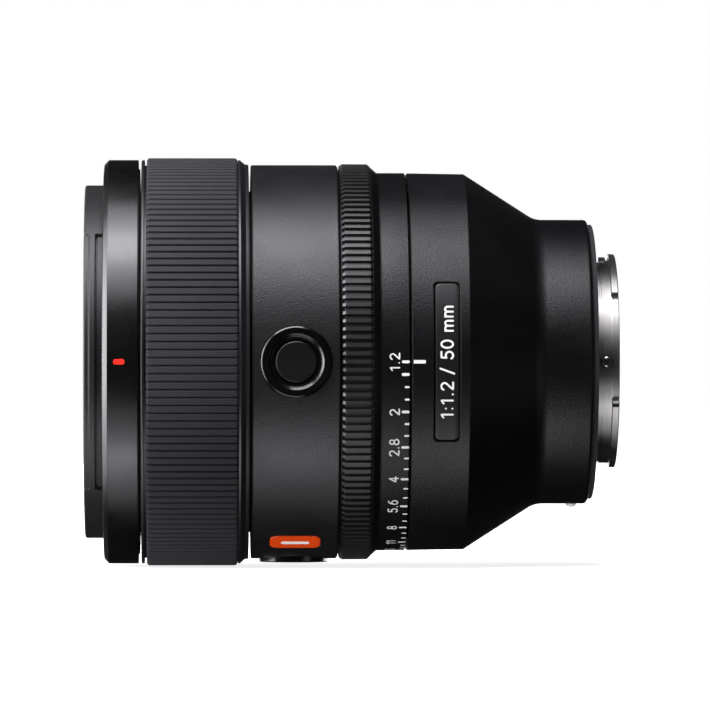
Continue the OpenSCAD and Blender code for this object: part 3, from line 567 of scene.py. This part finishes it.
# Bezel: a fine outward chamfer, a flat rim, and a rounded slope down to the cap. The tube's wall closes on
# itself
bezelOutline = [(4.5, 40.9), (7.4, 40.9), (7.4, 42.5, 0.02), (7.13, 42.72, 0.03), (5.85, 42.7, 0.15),
                (5.25, 42.15, 0.2), (4.5, 42.05)]
capOutline = [(0.02, 41.05), (4.3, 41.05), (4.3, 42.38, 0.02), (4.07, 42.56, 0.03), (0.02, 42.56)]
for side, angle in zip(("top", "side"), middle["buttonAngles"]):
    bezel = spunButton("buttonBezel_" + side, bezelOutline, angle, "barrel", glossPlastic, tube=True)
    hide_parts("button_bezels")
    cap = spunButton("buttonCap_" + side, capOutline, angle, "focus_hold_button_" + side, buttonPlastic)
    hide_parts("focus_hold_button_" + side)
print("middle barrel done")


# Aperture ring: a painted ring that carries the scale, and a knurl let into its front
apertureRing = {"ribs": 154, "ribDepth": 0.62, "flatShare": 0.38, "wallShare": 0.12, "scaleRadius": 40.35,
                "bevelEnd": -53.3, "bevelFoot": 41.85}

scaleOutline = [(-54.1, 38.2), (-54.1, 40.9), (-47.5, 40.9), (-47.5, 41.75, 0.05), (-45.95, 40.4, 0.1),
                (-45.6, 40.35, 0.3), (-40.05, 40.35, 0.12), (-39.9, 40.1, 0.05), (-39.9, 38.2)]
scaleRing = turned("apertureScaleRing", scaleOutline, "aperture_ring", thinPaint)
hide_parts("aperture_ring")


# Knurl: narrower ribs than the focus ring's, and deeper grooves with flat floors
def apertureRibs(x, t, r):
    groove = grooveShare(t, apertureRing["ribs"], apertureRing["flatShare"], apertureRing["wallShare"])
    return -apertureRing["ribDepth"] * groove * np.clip((r - 41.5) / 0.3, 0, 1)


knurlShares = [-0.31, -0.25, -0.19, 0.0, 0.19, 0.25, 0.31, 0.5]
knurlOutline = [(-53.95, 40.95), (-53.95, 41.8, 0.03), (-53.3, 42.25, 0.06), (-48.0, 42.23, 0.12),
                (-47.3, 41.65, 0.06), (-47.4, 40.95)]
knurl = turned("apertureKnurl", knurlOutline, "aperture_ring", knurlAnodised,
               ribAngles(apertureRing["ribs"], knurlShares), apertureRibs, longest=0.9, arcSteps=3, sharp=28)
# The front bevel of each rib is bare: its faces are those whose middle lies ahead of it and outside its foot
middles = np.empty(len(knurl.data.polygons) * 3)
knurl.data.polygons.foreach_get("center", middles)
middles = middles.reshape(-1, 3) / mm
outside = np.hypot(middles[:, 1], middles[:, 2]) > apertureRing["bevelFoot"]
onBevel = (middles[:, 0] < apertureRing["bevelEnd"]) & outside
knurl.data.materials.append(cutEdge)
knurl.data.polygons.foreach_set("material_index", onBevel.astype(np.int32))
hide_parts("aperture_grip")


# A short line with rounded corners, printed a hair proud of the barrel
def mark(name, body, material, angle, xMiddle, length, width, radius, squareEnd=False):
    return roundedPlate(name, body, material, angle, xMiddle, length, width, width * 0.4, radius + 0.02,
                        radius - 0.06, squareEnd=squareEnd)


# Points on the arc of an ellipse, from one angle in degrees to another
def arcPoints(cx, cy, rx, ry, start, end):
    turn = np.radians(np.linspace(start, end, 25))
    return [(cx + rx * a, cy + ry * b) for a, b in zip(np.cos(turn), np.sin(turn))]


# Strokes of each character, drawn with a round pen, in shares of the height of a capital, and its advance
glyphs = {
    "0": ([arcPoints(0.3, 0.5, 0.235, 0.43, 0, 360)], 0.67),
    "1": ([[(0.1, 0.76), (0.3, 0.93), (0.3, 0.07)]], 0.55),
    "2": ([arcPoints(0.28, 0.69, 0.225, 0.24, 160, -38) + [(0.08, 0.07), (0.54, 0.07)]], 0.65),
    "4": ([[(0.42, 0.07), (0.42, 0.93), (0.06, 0.31), (0.58, 0.31)]], 0.68),
    "5": ([[(0.5, 0.93), (0.15, 0.93), (0.12, 0.54)] + arcPoints(0.28, 0.34, 0.235, 0.27, 118, -150)], 0.65),
    "6": ([arcPoints(0.3, 0.34, 0.225, 0.27, 0, 360), arcPoints(0.47, 0.3, 0.4, 0.63, 92, 170)], 0.66),
    "8": ([arcPoints(0.3, 0.29, 0.23, 0.22, 0, 360), arcPoints(0.3, 0.72, 0.19, 0.21, 0, 360)], 0.67),
    "A": ([[(0.05, 0.07), (0.32, 0.93), (0.59, 0.07)], [(0.15, 0.33), (0.49, 0.33)]], 0.72),
    "m": ([[(0.07, 0.07), (0.07, 0.64)], arcPoints(0.235, 0.42, 0.165, 0.22, 180, 0) + [(0.4, 0.07)],
           arcPoints(0.565, 0.42, 0.165, 0.22, 180, 0) + [(0.73, 0.07)]], 0.88),
    ".": ([[(0.1, 0.08), (0.1, 0.09)]], 0.28),
    ":": ([[(0.1, 0.1), (0.1, 0.11)], [(0.1, 0.58), (0.1, 0.59)]], 0.28),
    "/": ([[(0.04, 0.0), (0.36, 1.0)]], 0.5),
    " ": ([], 0.32),
}


# A pen stroke: the path widened to both sides, and at both ends narrowed as the cosine of a quarter turn,
# which makes the caps round
def penStroke(path, pen):
    path = refined(np.array(path, float), 0.12, closed=False)
    step = np.gradient(path, axis=0)
    along = step / np.maximum(np.linalg.norm(step, axis=1, keepdims=True), 1e-9)
    turn = np.radians([88, 60, 30])
    centre = np.vstack([path[0] - along[0] * pen / 2 * np.sin(turn)[:, None], path,
                        path[-1] + along[-1] * pen / 2 * np.sin(turn[::-1])[:, None]])
    along = np.vstack([np.repeat(along[:1], 3, 0), along, np.repeat(along[-1:], 3, 0)])
    half = pen / 2 * np.concatenate([np.cos(turn), np.ones(len(path)), np.cos(turn[::-1])])[:, None]
    side = np.stack([-along[:, 1], along[:, 0]], -1)
    return np.stack([centre + side * half, centre - side * half], 1).reshape(-1, 2)


# Lettering reads from bottom to top: it runs against growing angles, and its top points to the front.
# Pen and space are shares of the height of a capital, and crossing strokes lie a hair over each other
def lettering(name, text, body, material, angle, xMiddle, capHeight, radius, pen=0.14, stretch=1.15,
              space=0.06):
    ends = np.cumsum([glyphs[c][1] * stretch + space for c in text])
    points, faces, total = [], [], 0
    for character, end in zip(text, ends):
        start = end - glyphs[character][1] * stretch - (ends[-1] + space) / 2
        for number, stroke in enumerate(glyphs[character][0]):
            wide = np.array(stroke, float) * [stretch, 1] + [start, -0.5]
            flat = penStroke(wide, pen) * capHeight
            height = np.full(len(flat), radius + 0.02 + 0.002 * number)
            upper = np.column_stack([-flat[:, 1], -flat[:, 0], height])
            lower = upper - [0, 0, 0.06]
            points += [upper, lower]
            faces += [[i + total for i in face] for face in slabFaces(len(flat) // 2, 2, flip=True)]
            total += 2 * len(flat)
    return makeObject(name, wrapped(np.vstack(points), angle, xMiddle, radius), faces, body, material)


# Scale: thirds of a stop lie 3.75 degrees apart, and full stops and both ends have long marks
scale = {"stopAngle": 3.75, "autoAngle": 95, "markBack": -40.02, "long": (1.62, 0.58), "short": (1.0, 0.42),
         "digitsX": -43.1, "digitHeight": 2.2}
longMarks = {0: "1.2", 1: "", 4: "2", 7: "2.8", 10: "4", 13: "5.6", 16: "8", 19: "11", 22: "16"}
stops = [(scale["stopAngle"] * third, longMarks.get(third)) for third in range(23)]
stops.append((scale["autoAngle"], "A"))
for number, (angle, digits) in enumerate(stops):
    length, width = scale["short"] if digits is None else scale["long"]
    line = mark("stopMark_%02d" % number, "aperture_ring", whiteInk, angle, scale["markBack"] - length / 2,
                length, width, apertureRing["scaleRadius"])
    if digits:
        figure = lettering("stopDigits_%02d" % number, digits, "aperture_ring", whiteInk, angle,
                           scale["digitsX"], scale["digitHeight"], apertureRing["scaleRadius"])
apertureIndex = mark("apertureIndex", "barrel", whiteInk, 0, -37.9, 2.55, 0.72, 40.29, squareEnd=True)
hoodIndex = mark("hoodIndex", "barrel", redInk, 0, -100.46, 2.35, 1.14, 43.1)
print("aperture ring done")


# Rear barrel: angles of the switches, and the sizes of the label's recess and the switch pockets
switches = {"af_mf": 118, "iris_lock": -104, "click": -124}
rear = {"labelFront": -35.0, "labelBack": -29.3, "labelHalf": 24.6, "labelRadius": 40.2, "labelCorner": 1.2,
        "labelChamfer": 0.22, "chamferDepth": 0.18, "labelDepth": 0.4, "switchX": -34.3,
        "pocketHalfLength": 2.3, "pocketHalfWidth": 4.7, "pocketCorner": 1.0, "pocketFloor": 38.92}
labelX = (rear["labelFront"] + rear["labelBack"]) / 2
labelLength = rear["labelBack"] - rear["labelFront"]
labelHalfArc = math.radians(rear["labelHalf"]) * rear["labelRadius"]


# The skin sinks under the label, by a chamfer and then a step, and under each switch knob to a flat floor,
# whose radius at an angle from the pocket's middle is pocketFloor / cos(angle)
def rearRise(x, t, r):
    around = np.radians(angleFrom(t, 0)) * rear["labelRadius"]
    edge = roundedBox(x - labelX, around, labelLength / 2, labelHalfArc, rear["labelCorner"])
    sink = rear["chamferDepth"] * np.clip(-edge / rear["labelChamfer"], 0, 1)
    sink = sink + rear["labelDepth"] * np.clip((-edge - rear["labelChamfer"]) / 0.06, 0, 1)
    for angle in switches.values():
        turn = np.radians(angleFrom(t, angle))
        near = np.abs(angleFrom(t, angle)) < 20
        pocket = roundedBox(x - rear["switchX"], np.sin(turn) * r, rear["pocketHalfLength"],
                            rear["pocketHalfWidth"], rear["pocketCorner"])
        pocket = np.where(near, pocket, 9)
        floor = r - rear["pocketFloor"] / np.cos(turn * near)
        sink = sink + np.maximum(floor, 0) * np.clip(-pocket / 0.1, 0, 1)
    return np.where((r > 38.6) & (x < -27), -sink, 0)


rearAngles = ringAngles(288, [(22.5, 26.5, 0.12), (333.5, 337.5, 0.12), (110, 126, 0.18), (226, 264, 0.18)])
rearOutline = [(-39.6, 38.3), (-39.6, 40.05, 0.05), (-39.35, 40.3, 0.06), (-27.3, 40.12, 0.7),
               (-12.1, 30.37, 5.5), (-0.9, 30.37, 0.85), (-0.9, 28.3), (-1.6, 28.3), (-1.6, 24), (-8, 24),
               (-8, 27.6), (-13, 27.6), (-22.5, 34.5), (-24.3, 34.5), (-24.3, 36.2), (-27.5, 36.2),
               (-28.2, 38.3)]
shell = turned("rearBarrel", rearOutline, "barrel", thinPaint, rearAngles, rearRise, longest=0.14,
               arcSteps=10, skin=(-40, -26.5, 40))
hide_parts("rear_barrel")

# Label: a thin plate wrapped on the barrel, its face level with the skin and a fine dark gap round it
label = {"gap": 0.45, "corner": 0.9, "face": 40.22, "foot": 39.8, "edge": 0.12, "text": "1:1.2 / 50 mm",
         "textX": -32.2, "capHeight": 2.82}
plate = roundedPlate("labelPlate", "barrel", labelPaint, 0, labelX, labelLength - 2 * label["gap"],
                     2 * labelHalfArc - 2 * label["gap"], label["corner"], label["face"], label["foot"],
                     label["edge"])
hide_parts("label_plate")
words = lettering("labelText", label["text"], "barrel", whiteInk, 0, label["textX"], label["capHeight"],
                  label["face"])

# Switch knobs: a rounded block with three ridges across it, half its travel off its pocket's middle
knob = {"halfLength": 1.8, "halfWidth": 2.4, "corner": 0.35, "base": 39.0, "top": 39.72, "ridge": 0.33,
        "ridgePitch": 1.3, "ridgeShare": 0.86, "edgeWidth": 0.22, "edgeDrop": 0.3, "halfTravel": 1.2}


# Height over the lens's axis: the top, plus a clipped cosine for the ridges, less a parabola along the edge,
# and the base on the outermost row
def knobHeight(u, v):
    across = v * knob["halfWidth"]
    edge = roundedBox(u * knob["halfLength"], across, knob["halfLength"], knob["halfWidth"], knob["corner"])
    wave = np.clip(np.cos(across * 2 * np.pi / knob["ridgePitch"]) * 1.6 + 0.3, 0, 1)
    wave = wave * (np.abs(v) < knob["ridgeShare"])
    ridges = knob["ridge"] * wave * np.clip(-edge / knob["corner"], 0, 1)
    drop = np.clip((edge + knob["edgeWidth"]) / knob["edgeWidth"], 0, 1) ** 2 * knob["edgeDrop"]
    outer = (np.abs(u) == 1) | (np.abs(v) == 1)
    return np.where(outer, knob["base"], knob["top"] + ridges - drop)


u, v = np.meshgrid(np.linspace(-1, 1, 41), np.linspace(-1, 1, 61), indexing="ij")
along, across = u * knob["halfLength"], v * knob["halfWidth"] + knob["halfTravel"]
knobPoints = np.column_stack([along.ravel(), across.ravel(), knobHeight(u, v).ravel()])
knobFaces = gridFaces(*u.shape) + [gridRim(*u.shape)[::-1].tolist()]
for switch, angle in switches.items():
    slider = makeObject(switch + "Knob", onBarrel(knobPoints, angle, rear["switchX"]), knobFaces,
                        switch + "_knob", buttonPlastic, 35)
    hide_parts(switch + "_knob")
print("rear barrel done")


# Mount: the bayonet's tube and lugs, the screws through the tube, and the flange's holes
mount = {"tube": 21.7, "lug": 23.05, "lugFront": 3.45, "lugs": [(-95, -39.5), (21, 78), (140, 200)],
         "stopAngle": -89, "stopHalf": 5.2, "stopHeight": 0.75, "slotAngle": 23.5, "slotDepth": 1.3,
         "tubeScrewAngles": (0, 120, 240), "recessX": 2.1, "recessRadius": 1.3, "recessDepth": 0.7,
         "screwAngles": (45, 135, 225, 315), "screwCircle": 26, "sinkRadius": 1.78, "sinkDepth": 0.8,
         "pinAngle": 112, "pinCircle": 24.6, "pinRadius": 1.15, "pinDepth": 1.0}


# The tube's end rises to each lug between two angles, and a stop block stands by the flange. Slots and the
# recesses of the tube's screws sink it, and a chamfer takes the lugs' back edge
def bayonetRise(x, t, r):
    lift = 0
    for start, end in mount["lugs"]:
        beside = upTo(np.abs(angleFrom(t, (start + end) / 2)), (end - start) / 2, 0.25)
        lift = lift + band(x, mount["lugFront"], 6, 0.08) * beside * (mount["lug"] - mount["tube"])
    stop = band(x, 1.2, 3.0, 0.08) * upTo(np.abs(angleFrom(t, mount["stopAngle"])), mount["stopHalf"], 0.25)
    step = upTo(x, 3.4, 0.08) * -0.06
    recess = 0
    for angle in mount["tubeScrewAngles"]:
        away = np.hypot(x - mount["recessX"], r * np.radians(angleFrom(t, angle)))
        recess = recess + np.clip((mount["recessRadius"] - away) / 0.1, 0, 1) * mount["recessDepth"]
    slot = band(x, mount["lugFront"], 4.6, 0.08) * band(angleFrom(t, mount["slotAngle"]), -0.9, 0.9, 0.2)
    rise = lift + stop * mount["stopHeight"] + step - recess - slot * mount["slotDepth"]
    chamfer = np.where(lift > 0.5, -np.clip((x - 4.75) / 0.25, 0, 1) * 0.25, 0)
    return np.where(np.abs(r - mount["tube"]) < 0.02, rise + chamfer, 0)


# Distance on the flange's face from a spot at an angle on a circle about the axis
def faceDistance(t, r, angle, circle):
    a = math.radians(angle)
    return np.hypot(r * np.cos(t) - circle * math.cos(a), r * np.sin(t) - circle * math.sin(a))


# Flange: countersinks round the screws and the hole for the camera's lock pin sink its face
def flangeShift(x, t, r):
    sink = 0
    for angle in mount["screwAngles"]:
        away = faceDistance(t, r, angle, mount["screwCircle"])
        sink = sink + np.clip((mount["sinkRadius"] - away) / 0.12, 0, 1) * mount["sinkDepth"]
    away = faceDistance(t, r, mount["pinAngle"], mount["pinCircle"])
    sink = sink + np.clip((mount["pinRadius"] - away) / 0.1, 0, 1) * mount["pinDepth"]
    return np.where(np.abs(x) < 0.01, -sink, 0)


# Finer angles at the lugs' ends, the screws, the lock pin's hole, the stop block and the slot
finer = [(end - 0.5, end + 0.5, 0.1) for pair in mount["lugs"] for end in pair]
finer += [(angle - 4.3, angle + 4.3, 0.25) for angle in mount["tubeScrewAngles"]]
finer += [(angle - 4.4, angle + 4.4, 0.2) for angle in mount["screwAngles"]]
finer += [(109, 115, 0.2), (-95, -83, 0.2), (21.8, 25.2, 0.15)]
mountAngles = ringAngles(360, [((s + 360) % 360, (s + 360) % 360 + (e - s), d) for s, e, d in finer])
steelOutline = [(-1.6, 20.2), (-1.6, 28.3), (0, 28.3, 0.1), (0, 21.7), (1.07, 21.7), (1.07, 21.3),
                (1.5, 21.3), (1.5, 21.7), (4.99, 21.7, 0.12), (4.99, 20.2, 0.1)]
steel = turned("mountSteel", steelOutline, "barrel", mountSteel, mountAngles, bayonetRise, flangeShift,
               longest=0.14, skin=(-0.01, 6, 21.2))
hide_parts("mount_plate")

# Small screws through the tube: height = top - slope * (rho - flat) past the flat top, and a cross recess
# sinks the spots that are close to either of its arms
tubeScrew = {"x": 2.18, "radius": 1.14, "top": 21.72, "flat": 0.78, "slope": 0.66, "armHalf": 0.13,
             "armReach": 0.62, "recess": 0.25, "foot": [(1.14, 21.0), (0.6, 21.0), (0.6, 18.6), (0.02, 18.6)]}
rho = np.concatenate([np.linspace(0.02, 0.72, 20), [0.78], np.linspace(0.84, 1.1, 5), [tubeScrew["radius"]]])
phase = np.radians(np.arange(96) * 3.75)
u, v = rho[:, None] * np.cos(phase + np.pi / 4), rho[:, None] * np.sin(phase + np.pi / 4)
domed = tubeScrew["top"] - np.maximum(rho - tubeScrew["flat"], 0)[:, None] * tubeScrew["slope"] + 0 * u
nearer, further = np.minimum(np.abs(u), np.abs(v)), np.maximum(np.abs(u), np.abs(v))
domed = domed - tubeScrew["recess"] * ((nearer < tubeScrew["armHalf"]) & (further < tubeScrew["armReach"]))
rings = [np.stack([r * np.cos(phase), r * np.sin(phase), h], -1) for r, h in zip(rho, domed)]
rings += [np.stack([r * np.cos(phase), r * np.sin(phase), h + 0 * phase], -1) for r, h in tubeScrew["foot"]]
flat = np.vstack(rings)
screwFaces, screwPoints = [], []
for number, angle in enumerate(mount["tubeScrewAngles"]):
    screwPoints.append(onBarrel(flat, angle, tubeScrew["x"]))
    screwFaces += [[i + number * len(flat) for i in face] for face in cappedFaces(len(rings), 96, flip=False)]
screws = makeObject("tubeScrews", np.vstack(screwPoints), screwFaces, "barrel", mountSteel, 25)
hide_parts("baffle_screws")

gasketOutline = [(-0.9, 28.32), (-0.9, 29.3, 0.05), (0.02, 29.35, 0.25), (0.14, 28.95, 0.2), (-0.02, 28.32)]
gasket = turned("mountGasket", gasketOutline, "barrel", gripRubber)
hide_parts("mount_gasket")

# Mount index dot: a short stem, and a dome with radius R cos(a) and height H sin(a)
dot = {"angle": 90, "x": -4.2, "radius": 1.15, "proud": 0.72, "collar": 30.37, "stem": 0.12, "foot": 29.9}
dome = np.linspace(0, math.pi / 2, 9)
domeHeight = dot["collar"] + dot["stem"] + (dot["proud"] - dot["stem"]) * np.sin(dome)
path = np.stack([dot["radius"] * np.cos(dome), domeHeight], -1)
path = np.vstack([[dot["radius"], dot["foot"]], path[:-1], [0.02, path[-1, 1]]])
dotPiece = makeObject("mountIndexDot", onBarrel(spun(path, 48), dot["angle"], dot["x"]),
                      cappedFaces(len(path), 48), "barrel", whiteDot)
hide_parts("mount_index_dot")
print("mount done")


# Studio: a white table and a white surround. Fill is the little light that the surround itself gives
studio = {"floor": -43.6, "floorGlow": 0.78, "surround": 1.0, "fill": 0.008, "lampTint": (1.0, 0.98, 1.035),
          "glassBounces": 24, "clearBounces": 16}
level = studio["floor"] * mm
floorMesh = bpy.data.meshes.new("floor")
floorMesh.from_pydata([(-6, -3, level), (6, -3, level), (6, 9, level), (-6, 9, level)], [], [(0, 1, 2, 3)])
floor = bpy.data.objects.new("floor", floorMesh)
bpy.context.scene.collection.objects.link(floor)
# White table: bright card that hides its own horizon
table = bpy.data.materials.new("whiteTable")
table.use_nodes = True
table.node_tree.nodes.clear()
card = addNode(table, "ShaderNodeBsdfDiffuse", inputs={"Color": (0.8, 0.8, 0.8, 1)})
place = addNode(table, "ShaderNodeTexCoord")
far = addNode(table, "ShaderNodeVectorMath", [(place, "Object", 0)], operation="LENGTH")
fade = addNode(table, "ShaderNodeMapRange", [(far, "Value", "Value")],
               inputs={"From Min": 0.1, "From Max": 0.9, "To Min": studio["floorGlow"], "To Max": 1.0})
glow = addNode(table, "ShaderNodeEmission", [(fade, "Result", "Strength")])
both = addNode(table, "ShaderNodeAddShader", [(card, "BSDF", 0), (glow, "Emission", 1)])
addNode(table, "ShaderNodeOutputMaterial", [(both, "Shader", "Surface")])
floorMesh.materials.append(table)
floor.visible_glossy = False
floor.visible_diffuse = False
floor.visible_shadow = False

# The camera sees the white surround, and every other ray sees the fill
world = bpy.data.worlds.new("studio")
world.use_nodes = True
world.node_tree.nodes.clear()
bpy.context.scene.world = world
white = (1, 1, 1, 1)
seen = addNode(world, "ShaderNodeBackground", inputs={"Color": white, "Strength": studio["surround"]})
fill = addNode(world, "ShaderNodeBackground", inputs={"Color": white, "Strength": studio["fill"]})
ray = addNode(world, "ShaderNodeLightPath")
mixed = addNode(world, "ShaderNodeMixShader", [(ray, "Is Camera Ray", 0), (fill, 0, 1), (seen, 0, 2)])
addNode(world, "ShaderNodeOutputWorld", [(mixed, 0, 0)])


# A softbox with soft edges: three lamps of growing width in one place, each with a third of the power
def softbox(name, place, target, length, widths, power):
    for number, width in enumerate(widths):
        data = bpy.data.lights.new("%s%d" % (name, number), "AREA")
        data.shape, data.size, data.size_y, data.energy = "RECTANGLE", length, width, power / len(widths)
        data.color = studio["lampTint"]
        lamp = bpy.data.objects.new(data.name, data)
        bpy.context.scene.collection.objects.link(lamp)
        lamp.location = place
        lamp.visible_camera = False
        lamp.rotation_euler = (Vector(target) - Vector(place)).to_track_quat("-Z", "Y").to_euler()


# Long boxes run along the lens: X is their long side. Place, target, length and widths are in metres, and
# power is in watts
lights = {
    "keyAbove": ((-0.30, -0.352, 0.85), (-0.30, 0, 0), 0.85, (0.3, 0.65, 1.1), 32),
    "lowFront": ((-0.30, -0.52, -0.76), (-0.30, 0, 0), 0.85, (0.25, 0.6, 1.1), 10),
    "leftSide": ((-1.25, 0.03, 0.12), (-0.05, 0, 0), 1.1, (0.7, 1.1, 1.8), 90),
    "leftBack": ((-0.95, 1.15, 0.0), (-0.05, 0, 0), 0.8, (0.12, 0.25, 0.45), 12),
    "rightBack": ((1.05, 1.15, 0.0), (-0.03, 0, 0), 0.8, (0.12, 0.25, 0.45), 14),
    "backStrip": ((-0.05, 1.4, 0.0), (-0.05, 0, 0), 1.1, (0.12, 0.25, 0.45), 9),
    "mountLow": ((0.95, -0.95, -0.32), (0, 0, 0), 0.5, (0.3, 0.5, 0.8), 1.5),
}
for name, (place, target, length, widths, power) in lights.items():
    softbox(name, place, target, length, widths, power)

# A long lens from far off, level with the axis and a little in front of the part's middle
view = {"place": (-0.0860, -1.434, 0), "target": (-0.0504, 0, 0.00145), "sensor": 36, "lens": 340}
camera = bpy.data.cameras.new("camera")
camera.sensor_width, camera.lens = view["sensor"], view["lens"]
camera.clip_start, camera.clip_end = 0.1, 40
viewer = bpy.data.objects.new("camera", camera)
bpy.context.scene.collection.objects.link(viewer)
viewer.location = view["place"]
viewer.rotation_euler = (Vector(view["target"]) - Vector(view["place"])).to_track_quat("-Z", "Y").to_euler()
bpy.context.scene.camera = viewer
bpy.context.scene.view_settings.view_transform = "Standard"
bpy.context.scene.cycles.transmission_bounces = studio["glassBounces"]
bpy.context.scene.cycles.max_bounces = studio["glassBounces"]
bpy.context.scene.cycles.transparent_max_bounces = studio["clearBounces"]
print("studio done")
